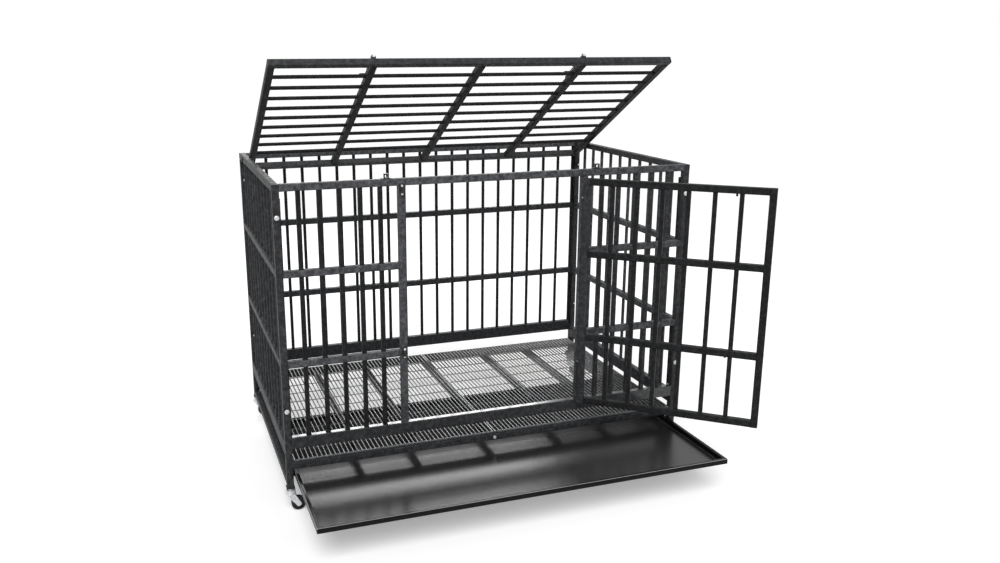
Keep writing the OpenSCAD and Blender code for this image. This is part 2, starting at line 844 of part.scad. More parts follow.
module at_corner(sx, sy) {
    translate([sx * post_x, sy * post_y, 0]) children();
}

module front_left_fork() { color(zinc) at_corner(-1, -1) caster_fork(); }
module front_right_fork() { color(zinc) at_corner(1, -1) caster_fork(); }
module rear_left_fork() { color(zinc) at_corner(-1, 1) caster_fork(); }
module rear_right_fork() { color(zinc) at_corner(1, 1) caster_fork(); }
module front_left_wheel() { color(black_plastic) at_corner(-1, -1) caster_wheel(); }
module front_right_wheel() { color(black_plastic) at_corner(1, -1) caster_wheel(); }
module rear_left_wheel() { color(black_plastic) at_corner(-1, 1) caster_wheel(); }
module rear_right_wheel() { color(black_plastic) at_corner(1, 1) caster_wheel(); }
module front_left_axle() { color(zinc) at_corner(-1, -1) caster_axle(); }
module front_right_axle() { color(zinc) at_corner(1, -1) caster_axle(); }
module rear_left_axle() { color(zinc) at_corner(-1, 1) caster_axle(); }
module rear_right_axle() { color(zinc) at_corner(1, 1) caster_axle(); }

left_side_panel();
right_side_panel();
rear_panel();
front_top_rail();
front_bottom_rail();
front_left_grille();
front_right_grille();
front_lower_rail();
rear_lower_rail();
floor_beam();
side_floor_beams();
left_floor_grate();
right_floor_grate();
left_tray_runner();
right_tray_runner();
post_end_caps();
panel_bolts();
foot_bolts();
panel_nuts();
beam_bolts();
lid_pivot_bolts();
lid_pivot_washers();
lid_keepers();
door_keepers();
keeper_screws();
hinge_post_knuckles();
hinge_pins();
caster_stems();
lid_frame();
lid_rods();
lid_bolt_housings();
left_lid_bolt();
right_lid_bolt();
door_frame();
hinge_door_knuckles();
door_bolt_housings();
upper_door_bolt();
lower_door_bolt();
tray();
front_left_fork();
front_right_fork();
rear_left_fork();
rear_right_fork();
front_left_wheel();
front_right_wheel();
rear_left_wheel();
rear_right_wheel();
front_left_axle();
front_right_axle();
rear_left_axle();
rear_right_axle();
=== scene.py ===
import json
import math
import bpy
import bmesh
from mathutils import Matrix, Vector, noise

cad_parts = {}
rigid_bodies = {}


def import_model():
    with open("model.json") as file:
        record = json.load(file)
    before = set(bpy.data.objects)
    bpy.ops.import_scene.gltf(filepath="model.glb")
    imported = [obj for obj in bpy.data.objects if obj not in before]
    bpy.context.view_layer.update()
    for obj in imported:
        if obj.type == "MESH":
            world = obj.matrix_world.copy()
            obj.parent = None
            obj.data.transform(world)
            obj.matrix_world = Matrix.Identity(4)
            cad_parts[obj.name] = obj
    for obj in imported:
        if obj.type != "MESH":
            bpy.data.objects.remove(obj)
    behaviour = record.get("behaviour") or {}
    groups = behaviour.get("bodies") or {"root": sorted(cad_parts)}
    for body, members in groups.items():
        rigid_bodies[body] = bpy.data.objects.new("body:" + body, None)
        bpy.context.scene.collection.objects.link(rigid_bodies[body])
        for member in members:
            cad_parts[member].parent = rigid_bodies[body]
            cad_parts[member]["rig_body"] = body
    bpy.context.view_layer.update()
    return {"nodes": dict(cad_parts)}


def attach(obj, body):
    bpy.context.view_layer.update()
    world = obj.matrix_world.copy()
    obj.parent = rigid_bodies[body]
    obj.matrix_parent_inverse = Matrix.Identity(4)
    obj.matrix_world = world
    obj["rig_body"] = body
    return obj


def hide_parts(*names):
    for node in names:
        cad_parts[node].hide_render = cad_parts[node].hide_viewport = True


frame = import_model()
nodes = frame["nodes"]
corners = ("front_left", "front_right", "rear_left", "rear_right")
mm = 0.001
tiny = 1e-6  # metres, less than any real edge
facing = 0.9  # cosine past which a face looks along an axis
soften = {"merge": 1e-5, "flat": 1, "sharp": 35, "shaded": 50}
print("frame loaded:", len(nodes), "nodes")


# small tools for every material
def hexColor(text):
    # sRGB hex to the linear colour that the shaders want
    parts = [int(text[i:i + 2], 16) / 255 for i in (1, 3, 5)]
    return [c / 12.92 if c <= 0.04045 else ((c + 0.055) / 1.055) ** 2.4 for c in parts] + [1.0]


def addNode(tree, kind, settings=None, values=None, links=None):
    node = tree.nodes.new("ShaderNode" + kind)
    for name, value in (settings or {}).items():
        setattr(node, name, value)
    for name, value in (values or {}).items():
        node.inputs[name].default_value = value
    for name, socket in (links or {}).items():
        tree.links.new(socket, node.inputs[name])
    return node


def setRamp(node, places, colors):
    ramp = node.color_ramp
    while len(ramp.elements) < len(places):
        ramp.elements.new(0.5)
    for element, place, color in zip(ramp.elements, places, colors):
        element.position = place
        element.color = hexColor(color)
    return node.outputs["Color"]


def newMaterial(name):
    material = bpy.data.materials.new(name)
    material.use_nodes = True
    tree = material.node_tree
    shader = tree.nodes["Principled BSDF"]
    coords = addNode(tree, "TexCoord").outputs["Object"]
    return material, tree, shader, coords


def perMm(size):
    # texture scale that repeats about every so many millimetres
    return 1.0 / (size * mm)


def addMottle(tree, shader, coords, look):
    # cloudy noise that shades the finish from tone to tone; a finer noise of scratches, or else the same one,
    # makes it duller in places
    cloud = addNode(tree, "TexNoise", links={"Vector": coords},
                    values={"Scale": perMm(look["cloud"]), "Detail": look["detail"],
                            "Roughness": look["crumble"]})
    ramp = addNode(tree, "ValToRGB", links={"Fac": cloud.outputs["Fac"]})
    tree.links.new(setRamp(ramp, look["stops"], look["tones"]), shader.inputs["Base Color"])
    grain = cloud
    if "scratch" in look:
        grain = addNode(tree, "TexNoise", links={"Vector": coords},
                        values={"Scale": perMm(look["scratch"]), "Detail": look["scratchDetail"]})
    dull = addNode(tree, "MapRange", links={"Value": grain.outputs["Fac"]},
                   values={"From Min": look["span"][0], "From Max": look["span"][1],
                           "To Min": look["rough"][0], "To Max": look["rough"][1]})
    tree.links.new(dull.outputs["Result"], shader.inputs["Roughness"])
    return cloud.outputs["Fac"]


# small tools for every shape
def distinct(items):
    # each one once, in the order they come
    return list(dict.fromkeys(items))


def moveTo(x, y, z):
    return Matrix.Translation(Vector((x, y, z)) * mm)


def bevelEdges(bm, edges, radius, segments):
    return bmesh.ops.bevel(bm, geom=edges, offset=radius * mm, offset_type="OFFSET", affect="EDGES",
                           segments=segments, profile=0.5, material=-1, clamp_overlap=True)


def addCone(bm, radius, endRadius, length, segments, place, caps=False):
    # rod or cone in mm, along Z about its middle
    return bmesh.ops.create_cone(bm, cap_ends=caps, segments=segments, radius1=radius * mm,
                                 radius2=endRadius * mm, depth=length * mm, matrix=place)["verts"]


def paintSince(bm, before, index):
    # gives the faces made since then the piece's other finish
    for face in set(bm.faces) - before:
        face.material_index = index


def convexEdges(bm):
    limit = math.radians(soften["sharp"])
    return [e for e in bm.edges if e.is_manifold and e.calc_face_angle_signed() > limit]


def meshFrom(name, bm):
    mesh = bpy.data.meshes.new(name)
    bm.to_mesh(mesh)
    bm.free()
    return mesh


def addObject(name, data):
    thing = bpy.data.objects.new(name, data)
    bpy.context.scene.collection.objects.link(thing)
    return thing


def finishPiece(name, bm, body, finishes, stands):
    mesh = meshFrom(name, bm)
    mesh.shade_smooth()
    mesh.set_sharp_from_angle(angle=math.radians(soften["shaded"]))
    piece = addObject(name, mesh)
    for finish in finishes:
        piece.data.materials.append(finish)
    # keeps the long faces flat beside their rounds
    flat = piece.modifiers.new("flatFaces", "WEIGHTED_NORMAL")
    flat.keep_sharp = True
    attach(piece, body)
    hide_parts(*stands)
    return piece


def softenNode(name, radius, material):
    # a CAD node with its sharp edges broken, standing in for it
    bm = bmesh.new()
    bm.from_mesh(nodes[name].data)
    bmesh.ops.remove_doubles(bm, verts=bm.verts, dist=soften["merge"])
    bmesh.ops.dissolve_limit(bm, angle_limit=math.radians(soften["flat"]), verts=bm.verts, edges=bm.edges)
    bevelEdges(bm, convexEdges(bm), radius, segments=2)
    return finishPiece(name + "_soft", bm, nodes[name]["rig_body"], (material,), [name])


# frame finish in three tones: charcoal is the coat's own colour, the lighter tone is painted light for faces
# that the light falls on, and the black tone is painted shade
coatTones = {"charcoal": ("#212224", "#2c2d2f", "#414245"), "paintedLit": ("#303133", "#434447", "#606164"),
             "black": ("#141415", "#1c1d1e", "#2a2b2d")}
coatLook = {"cloud": 11, "detail": 4.0, "crumble": 0.62, "stops": (0.36, 0.5, 0.7), "span": (0.3, 0.7),
            "rough": (0.6, 0.46), "peel": 3.2, "blend": 0.6, "relief": 0.3, "press": 0.5, "ior": 1.32,
            "polishRough": 0.14}


def makePowderCoat(name, tones, polish=0.0, shine=0.5):
    # hammered powder coat on steel tube: mottled, with a low sheen and a pebbled skin
    material, tree, shader, coords = newMaterial(name)
    addMottle(tree, shader, coords, dict(coatLook, tones=coatTones[tones]))
    # the real pebbles are about 1 mm, drawn three times coarser so that they show
    peel = addNode(tree, "TexVoronoi", settings={"feature": "SMOOTH_F1"}, links={"Vector": coords},
                   values={"Scale": perMm(coatLook["peel"]), "Smoothness": coatLook["blend"]})
    bump = addNode(tree, "Bump", links={"Height": peel.outputs["Distance"]},
                   values={"Strength": coatLook["press"], "Distance": coatLook["relief"] * mm})
    tree.links.new(bump.outputs["Normal"], shader.inputs["Normal"])
    shader.inputs["IOR"].default_value = coatLook["ior"]
    shader.inputs["Specular IOR Level"].default_value = shine
    shader.inputs["Coat Weight"].default_value = polish
    shader.inputs["Coat Roughness"].default_value = coatLook["polishRough"]
    return material


charcoalCoat = makePowderCoat("hammered charcoal powder coat", "charcoal")
paintedLitCoat = makePowderCoat("hammered powder coat painted lighter where light falls", "paintedLit")
paintedShadeCoat = makePowderCoat("hammered powder coat painted darker as shade", "black", shine=0.3)
rubbedCoat = makePowderCoat("charcoal coat rubbed bright on the sill", "charcoal", polish=1.0)


# plated steel of the small parts
zincLook = {"tones": ("#d3d7d9", "#f0f2f3"), "stops": (0.35, 0.65), "cloud": 9, "detail": 3.0, "crumble": 0.5,
            "scratch": 1.4, "scratchDetail": 2.0, "span": (0.3, 0.7), "rough": (0.28, 0.44), "metal": 0.45}
latchLook = {"tones": ("#232425", "#343537"), "stops": (0.35, 0.65), "cloud": 8, "detail": 3.0,
             "crumble": 0.5, "scratch": 1.6, "scratchDetail": 2.0, "span": (0.3, 0.7), "rough": (0.3, 0.44),
             "metal": 0.4}


def makePlating(name, look):
    # plate on small pressed steel: bright zinc is silvery with a faint cloudy bloom, and the satin black of
    # the latches even and a little oily, with worn dull patches
    material, tree, shader, coords = newMaterial(name)
    addMottle(tree, shader, coords, look)
    shader.inputs["Metallic"].default_value = look["metal"]
    return material


zinc = makePlating("bright zinc plate", zincLook)
latchSteel = makePlating("satin black latch steel", latchLook)


# enamel of the tray
trayLook = {"wave": 160, "bow": 0.42, "rough": 0.26, "ior": 1.45, "film": (-350, -230), "filmRough": 0.95}


def makeTrayEnamel(name, color, shine, film=False):
    # smooth black stove enamel on sheet steel: half gloss, slightly wavy like any thin sheet, and in the pan
    # dulled by a dry film on the half that stays under the floor
    material, tree, shader, coords = newMaterial(name)
    wave = addNode(tree, "TexNoise", links={"Vector": coords},
                   values={"Scale": perMm(trayLook["wave"]), "Detail": 0.0})
    sheet = addNode(tree, "Bump", links={"Height": wave.outputs["Fac"]},
                    values={"Strength": 1.0, "Distance": trayLook["bow"] * mm})
    tree.links.new(sheet.outputs["Normal"], shader.inputs["Normal"])
    shader.inputs["Base Color"].default_value = hexColor(color)
    shader.inputs["Roughness"].default_value = trayLook["rough"]
    shader.inputs["IOR"].default_value = trayLook["ior"]
    shader.inputs["Specular IOR Level"].default_value = shine
    if film:
        front, rear = trayLook["film"]
        place = addNode(tree, "SeparateXYZ", links={"Vector": coords})
        dull = addNode(tree, "MapRange", links={"Value": place.outputs["Y"]},
                       values={"From Min": front * mm, "From Max": rear * mm,
                               "To Min": trayLook["rough"], "To Max": trayLook["filmRough"]})
        tree.links.new(dull.outputs["Result"], shader.inputs["Roughness"])
    return material


trayEnamel = makeTrayEnamel("black stove enamel", color="#202021", shine=0.5, film=True)
# walls, rim and skirt get a darker, flatter black: painted shade
shadedRimEnamel = makeTrayEnamel("tray's walls, rim and skirt painted darker as shade", color="#111112", shine=0.15)
# light grey along the outer fold: a painted highlight
foldHighlightEnamel = makeTrayEnamel("enamel with a highlight painted along the fold", color="#9fa0a2", shine=0.5)


# coat of the floor grates
wireLook = {"tones": ("#2a2c2e", "#4c4e51"), "stops": (0.3, 0.7), "cloud": 6, "detail": 3.0, "crumble": 0.5,
            "span": (0.0, 1.0), "rough": (0.2, 0.3), "ior": 1.8}


def makeWireCoat():
    # thin grey epoxy on drawn wire: even and a little shiny on the crowns
    material, tree, shader, coords = newMaterial("grey epoxy on wire")
    addMottle(tree, shader, coords, wireLook)
    shader.inputs["IOR"].default_value = wireLook["ior"]
    return material


wireCoat = makeWireCoat()


# plastic of the caps and wheels
plasticLook = {"tones": ("#141415", "#1f1f21"), "stops": (0.3, 0.7), "cloud": 1.8, "detail": 3.0,
               "crumble": 0.5, "span": (0.0, 1.0), "spread": 0.08, "relief": 0.1, "press": 0.15}


def makeBlackPlastic(name, rough):
    # moulded black plastic with a fine spark texture, drawn coarser so that it shows
    material, tree, shader, coords = newMaterial(name)
    spread = plasticLook["spread"]
    grain = addMottle(tree, shader, coords, dict(plasticLook, rough=(rough - spread, rough + spread)))
    bump = addNode(tree, "Bump", links={"Height": grain},
                   values={"Strength": plasticLook["press"], "Distance": plasticLook["relief"] * mm})
    tree.links.new(bump.outputs["Normal"], shader.inputs["Normal"])
    return material


capPlastic = makeBlackPlastic("black polypropylene", rough=0.5)
wheelPlastic = makeBlackPlastic("black wheel nylon", rough=0.4)
print("finishes made")


# square tubes, bars and their welds
crate = {"halfLength": 610, "halfWidth": 370, "tube": 19, "bar": 12, "rod": 10.5, "foot": 72, "top": 910,
         "lowRail": 76, "lowerRail": 124, "frontSill": (185, 218), "sideSill": (161, 199),
         "rearSill": (189.5, 227.5), "midRails": (416, 664), "sideRods": 10, "rearRods": 19, "rearEnd": 1,
         "frontBars": 5, "doorPost": 260, "sideBeams": (0.38, 0.67), "tubeCorner": 2.2, "barCorner": 1.7,
         "rodSides": 20}
tubeEnd = {"free": 0.8, "butted": 0.5, "fitted": 0.4}
weld = {"leg": 1.3, "rise": 1.5, "sink": 0.2, "roll": 2.2, "bead": 1.9, "inset": 1.5, "ripples": 3,
        "ripple": 0.12, "lump": 0.1, "lumpScale": 3, "lumpShift": 90}
tube = crate["tube"]
bar = crate["bar"]
rod = crate["rod"]
inset = (tube - bar) / 2
innerX = crate["halfLength"] - tube
innerY = crate["halfWidth"] - tube
underTop = crate["top"] - tube
barFoot = crate["frontSill"][1]


def addTube(bm, along, low, high, radius, endRadius=0.0):
    # square tube between two corners in mm: rolled long edges, and broken ends where they are free
    verts = bmesh.ops.create_cube(bm, size=1.0)["verts"]
    bmesh.ops.scale(bm, vec=[(b - a) * mm for a, b in zip(low, high)], verts=verts)
    bmesh.ops.translate(bm, vec=[(a + b) / 2 * mm for a, b in zip(low, high)], verts=verts)
    axis = "xyz".index(along)
    edges = distinct(e for v in verts for e in v.link_edges)
    longEdges = [e for e in edges if abs((e.verts[0].co - e.verts[1].co)[axis]) > tiny]
    rolled = bevelEdges(bm, longEdges, radius, segments=3)
    if endRadius:
        faces = distinct(f for v in rolled["verts"] for f in v.link_faces)
        rims = distinct(e for f in faces if abs(f.normal[axis]) > facing for e in f.edges)
        bevelEdges(bm, rims, endRadius, segments=2)


def weldPlace(x, y, z, up):
    # middle of a fillet weld whose wide end is on the rail
    return moveTo(x, y, z + up * weld["rise"] / 2) @ Matrix.Rotation(0 if up > 0 else math.pi, 4, "X")


def weldLevels(z0, z1, rails):
    # height and direction of the fillet welds on an upright: its ends, and both faces of each mid rail
    return [(z0, 1), (z1, -1)] + [(r + s * tube, 1 if s else -1) for r in rails for s in (0, 1)]


def addCollar(bm, x, y, z, up):
    # fillet weld round the end of an upright bar
    wide, narrow = [(bar / 2 + grow) * math.sqrt(2) for grow in (weld["leg"], -weld["sink"])]
    place = weldPlace(x, y, z, up) @ Matrix.Rotation(math.pi / 4, 4, "Z")
    verts = addCone(bm, wide, narrow, weld["rise"], segments=4, place=place)
    edges = distinct(e for v in verts for e in v.link_edges)
    bevelEdges(bm, [e for e in edges if not e.is_boundary], weld["roll"], segments=2)


def addBead(bm, start, end):
    # weld bead in a corner between two tubes, with its ripples
    start, end = Vector(start) * mm, Vector(end) * mm
    verts = bmesh.ops.create_uvsphere(bm, u_segments=8, v_segments=12, radius=1.0)["verts"]
    for v in verts:
        ripple = math.cos(2 * math.pi * weld["ripples"] * v.co.z)
        lump = noise.noise(v.co * weld["lumpScale"] + start * weld["lumpShift"])
        swell = 1.0 + weld["ripple"] * ripple + weld["lump"] * lump
        v.co = Vector((v.co.x * swell, v.co.y * swell, v.co.z))
    line = end - start
    turn = line.to_track_quat("Z", "Y").to_matrix().to_4x4()
    size = Matrix.Diagonal((weld["bead"] * mm, weld["bead"] * mm, line.length / 2, 1.0))
    bmesh.ops.transform(bm, matrix=Matrix.Translation((start + end) / 2) @ turn @ size, verts=verts)


def addBeadX(bm, x, y, z):
    addBead(bm, (x + weld["inset"], y, z), (x + tube - weld["inset"], y, z))


def addBeadY(bm, x, y, z):
    addBead(bm, (x, y + weld["inset"], z), (x, y + tube - weld["inset"], z))


def barPlaces(a, b, n, wide=bar):
    gap = (b - a - n * wide) / (n + 1)
    return [a + (i + 1) * gap + i * wide for i in range(n)]


def addBars(bm, places, face, z0, z1, rails):
    # upright square bars from rail to rail, welded top and bottom and at each mid rail
    for p in places:
        addTube(bm, "z", (p, face + inset, z0), (p + bar, face + inset + bar, z1), crate["barCorner"])
        for z, up in weldLevels(z0, z1, rails):
            addCollar(bm, p + bar / 2, face + tube / 2, z, up)


def addRod(bm, x, y, z0, z1, rails):
    # round rod from rail to rail, with a small fillet weld round it at each one
    half, sides = rod / 2, crate["rodSides"]
    addCone(bm, half, half, z1 - z0, sides, moveTo(x, y, (z0 + z1) / 2))
    for z, up in weldLevels(z0, z1, rails):
        addCone(bm, half + weld["leg"], half - weld["sink"], weld["rise"], sides, weldPlace(x, y, z, up))


def addRailX(bm, a, b, y, z, height=tube, endRadius=0.0):
    addTube(bm, "x", (a, y, z), (b, y + tube, z + height), crate["tubeCorner"], endRadius)


def addRailY(bm, a, b, x, z, height=tube, endRadius=0.0):
    addTube(bm, "y", (x, a, z), (x + tube, b, z + height), crate["tubeCorner"], endRadius)


def addPost(bm, x, y, z0, z1, endRadius=0.0):
    addTube(bm, "z", (x, y, z0), (x + tube, y + tube, z1), crate["tubeCorner"], endRadius)


strip = {"thick": 3, "edge": 3, "lap": 4, "over": 10, "gap": 1, "overlap": 0.5, "corner": 0.5, "end": 0.4,
         "tabCorner": 0.4, "tabEnd": 0.3}


def addPlates(bm, sx, sy, spans, corner, end):
    # flat plates on the inner face of a post, each given by its reach in X and in Z
    y0, y1 = sorted((sy * innerY, sy * (innerY - strip["thick"])))
    for a, b, z0, z1 in spans:
        x0, x1 = sorted((sx * a, sx * b))
        addTube(bm, "z", (x0, y0, z0), (x1, y1, z1), corner, end)


def addStrip(bm, sx, sy, z0, z1, lap0, lap1):
    # flat strip behind a post that takes the panel bolts
    lapped = innerX - strip["lap"]
    spans = ((innerX + tube - strip["edge"], lapped, z0 + strip["gap"], z1 - strip["gap"]),
             (innerX - strip["overlap"], lapped, lap0, lap1))
    addPlates(bm, sx, sy, spans, strip["corner"], strip["end"])


def addCornerStrips(bm, sx, sy):
    low, high = crate["midRails"]
    top = underTop - tube
    addStrip(bm, sx, sy, high + tube, top, high + tube - strip["over"], top - strip["gap"])
    addStrip(bm, sx, sy, barFoot, low, barFoot - strip["over"], low + strip["over"])


# side panels: two posts, five rails and round rods
def makeSidePanel(name, side, coat):
    bm = bmesh.new()
    x = -crate["halfLength"] if side < 0 else innerX
    sill = crate["sideSill"]
    rails = [(crate["lowRail"], tube), (sill[0], sill[1] - sill[0])]
    rails += [(z, tube) for z in crate["midRails"]]
    for y in (-crate["halfWidth"], innerY):
        addPost(bm, x, y, crate["foot"], underTop)
    addRailY(bm, -crate["halfWidth"], crate["halfWidth"], x, underTop, endRadius=tubeEnd["free"])
    outer = set(bm.faces)
    for z, height in rails:
        addRailY(bm, -innerY, innerY, x, z, height)
        for y in (-innerY, innerY):
            for level in (z, z + height):
                addBeadX(bm, x, y, level)
    for y in (-innerY, innerY):
        addBeadX(bm, x, y, underTop)
    for y in barPlaces(-innerY, innerY, crate["sideRods"], rod):
        addRod(bm, x + tube / 2, y + rod / 2, sill[1], underTop, crate["midRails"])
    paintSince(bm, outer, 1)
    return finishPiece(name + "_tubes", bm, "frame", (charcoalCoat, coat), [name])


makeSidePanel("left_side_panel", -1, charcoalCoat)
# the right panel's rails and rods take the lighter tone, painted light on their lit inner faces
makeSidePanel("right_side_panel", 1, paintedLitCoat)


# rear panel: four rails and round rods, the end ones beside the posts
def makeRearPanel():
    bm = bmesh.new()
    sill = crate["rearSill"]
    addRailX(bm, -innerX, innerX, innerY, sill[0], sill[1] - sill[0], tubeEnd["butted"])
    for z in crate["midRails"]:
        addRailX(bm, -innerX, innerX, innerY, z, endRadius=tubeEnd["butted"])
    lower = set(bm.faces)
    addRailX(bm, -innerX, innerX, innerY, underTop, endRadius=tubeEnd["butted"])
    paintSince(bm, lower, 2)
    rails = set(bm.faces)
    end = innerX - crate["rearEnd"] - rod
    for x in [-end - rod] + barPlaces(-end, end, crate["rearRods"], rod) + [end]:
        addRod(bm, x + rod / 2, innerY + tube / 2, sill[1], underTop, crate["midRails"])
    paintSince(bm, rails, 1)
    for sx in (-1, 1):
        addCornerStrips(bm, sx, 1)
    # the rods take the darker tone as painted shade, and the top rail the lighter tone as painted light
    finishes = (charcoalCoat, paintedShadeCoat, paintedLitCoat)
    return finishPiece("rear_panel_tubes", bm, "frame", finishes, ["rear_panel"])


makeRearPanel()


# front: top and bottom rails, and a grille with its door post on each side
def makeFrontRail(name, z, height, coat):
    bm = bmesh.new()
    addRailX(bm, -innerX, innerX, -crate["halfWidth"], z, height, tubeEnd["butted"])
    return finishPiece(name + "_tube", bm, "frame", (coat,), [name])


# the top rail takes the lighter tone, painted light on its lit front
makeFrontRail("front_top_rail", underTop, tube, paintedLitCoat)
makeFrontRail("front_bottom_rail", crate["frontSill"][0], barFoot - crate["frontSill"][0], rubbedCoat)


def makeGrille(name, side, coat):
    bm = bmesh.new()
    y = -crate["halfWidth"]
    post = crate["doorPost"] if side > 0 else -crate["doorPost"] - tube
    addPost(bm, post, y, barFoot, underTop)
    a, b = (crate["doorPost"] + tube, innerX) if side > 0 else (-innerX, -crate["doorPost"] - tube)
    joint = a if side > 0 else b
    for z in crate["midRails"]:
        addRailX(bm, a, b, y, z, endRadius=tubeEnd["fitted"])
        for level in (z, z + tube):
            addBeadY(bm, joint, y, level)
    rails = set(bm.faces)
    addBars(bm, barPlaces(a, b, crate["frontBars"]), y, barFoot, underTop, crate["midRails"])
    paintSince(bm, rails, 1)
    addCornerStrips(bm, side, -1)
    # the post and rails take the lighter tone as painted light
    return finishPiece(name + "_tubes", bm, "frame", (paintedLitCoat, coat), [name])


# the left grille's bars take the darker tone as painted shade
makeGrille("front_left_grille", -1, paintedShadeCoat)
makeGrille("front_right_grille", 1, charcoalCoat)


# lower rails that carry the floor, with a bolted tab behind each post
def makeLowerRail(name, sy):
    bm = bmesh.new()
    z = crate["lowerRail"]
    y = -crate["halfWidth"] if sy < 0 else innerY
    addRailX(bm, -innerX, innerX, y, z, endRadius=tubeEnd["butted"])
    spans = ((innerX + tube - strip["edge"], innerX, crate["lowRail"] + tube + strip["gap"], z),
             (innerX, innerX - strip["lap"], z, z + tube))
    for sx in (-1, 1):
        addPlates(bm, sx, sy, spans, strip["tabCorner"], strip["tabEnd"])
    return finishPiece(name + "_tube", bm, "frame", (charcoalCoat,), [name])


makeLowerRail("front_lower_rail", -1)
makeLowerRail("rear_lower_rail", 1)


def makeFloorBeams(name, places):
    bm = bmesh.new()
    for x in places:
        addRailY(bm, -innerY, innerY, x - tube / 2, crate["lowerRail"], endRadius=tubeEnd["fitted"])
    return finishPiece(name + "_tubes", bm, "frame", (charcoalCoat,), [name])


beamPlaces = [side * share * innerX for side in (-1, 1) for share in crate["sideBeams"]]
makeFloorBeams("floor_beam", [0])
makeFloorBeams("side_floor_beams", beamPlaces)
print("crate panels made")


# lid: tube frame with three crossbars and round rods, raised about its pivot
lid = {"halfLength": 589, "halfWidth": 349, "crossbar": 309, "rods": 9, "rodSeat": 8, "pivot": (276, 900.5),
       "rodClear": 46, "open": 29.5}


def raiseLid(bm):
    bmesh.ops.rotate(bm, cent=(0, lid["pivot"][0] * mm, lid["pivot"][1] * mm),
                     matrix=Matrix.Rotation(math.radians(-lid["open"]), 3, "X"), verts=bm.verts)


def makeLidFrame():
    bm = bmesh.new()
    x, y = lid["halfLength"], lid["halfWidth"]
    for a in (-y, y - tube):
        addRailX(bm, -x, x, a, underTop, endRadius=tubeEnd["free"])
    rails = set(bm.faces)
    for a in (-x, -lid["crossbar"] - tube / 2, -tube / 2, lid["crossbar"] - tube / 2, x - tube):
        addRailY(bm, -y + tube, y - tube, a, underTop)
        for joint in (-y + tube, y - tube):
            for level in (underTop, underTop + tube):
                addBeadX(bm, a, joint, level)
    paintSince(bm, rails, 1)
    raiseLid(bm)
    # the crossbars take the darker tone as painted shade
    finishes = (charcoalCoat, paintedShadeCoat)
    return finishPiece("lid_frame_tubes", bm, "lid", finishes, ["lid_frame"])


def makeLidRods():
    bm = bmesh.new()
    first = -lid["halfWidth"] + tube
    step = (lid["pivot"][0] - lid["rodClear"] - first) / lid["rods"]
    reach = lid["halfLength"] - tube + lid["rodSeat"]
    for i in range(1, lid["rods"] + 1):
        place = moveTo(0, first + i * step, lid["pivot"][1]) @ Matrix.Rotation(math.pi / 2, 4, "Y")
        addCone(bm, rod / 2, rod / 2, 2 * reach, crate["rodSides"], place, caps=True)
    raiseLid(bm)
    # the rods take the darker tone as painted shade
    return finishPiece("lid_rods_round", bm, "lid", (paintedShadeCoat,), ["lid_rods"])


makeLidFrame()
makeLidRods()


# door: tube frame with two mid rails and six bars, swung about its hinge line
door = {"halfLength": 258.5, "z0": 219.5, "z1": 889.5, "latchGap": 63, "bars": 6, "hinge": (262.4, -377),
        "open": 138.8}


def swingDoor(bm):
    bmesh.ops.rotate(bm, cent=(door["hinge"][0] * mm, door["hinge"][1] * mm, 0),
                     matrix=Matrix.Rotation(math.radians(door["open"]), 3, "Z"), verts=bm.verts)


def makeDoorFrame():
    bm = bmesh.new()
    x, y = door["halfLength"], -crate["halfWidth"]
    z0, z1 = door["z0"], door["z1"]
    addPost(bm, x - tube, y, z0, z1, tubeEnd["free"])
    hinged = set(bm.faces)
    addPost(bm, -x, y, z0, z1, tubeEnd["free"])
    for z in [z0, z1 - tube] + list(crate["midRails"]):
        addRailX(bm, -x + tube, x - tube, y, z)
        for joint in (-x + tube, x - tube):
            for level in (z, z + tube):
                if z0 < level < z1:  # ground flush outside, where the door clears the rails
                    addBeadY(bm, joint, y, level)
    first = -x + tube + door["latchGap"]
    places = [first] + barPlaces(first + bar, x - tube, door["bars"] - 1)
    addBars(bm, places, y, z0 + tube, z1 - tube, crate["midRails"])
    paintSince(bm, hinged, 1)
    swingDoor(bm)
    # all but the hinge post take the darker tone as painted shade
    finishes = (charcoalCoat, paintedShadeCoat)
    return finishPiece("door_frame_tubes", bm, "door", finishes, ["door_frame"])


makeDoorFrame()
print("lid and door made")


# floor grates: close round wires along the depth, on spaced cross wires, inside a heavier border
grate = {"x": 589, "gap": 1, "y": 368, "z": 143, "wire": 4.6, "cross": 3.2, "border": 6, "pitch": 12.5,
         "crossPitch": 72, "wireSides": 8, "corner": 2.4, "end": 0.8}


def addWire(bm, start, end, size):
    start, end = Vector(start), Vector(end)
    turn = (end - start).to_track_quat("Z", "Y").to_matrix().to_4x4()
    place = moveTo(*((start + end) / 2)) @ turn
    addCone(bm, size / 2, size / 2, (end - start).length, grate["wireSides"], place, caps=True)


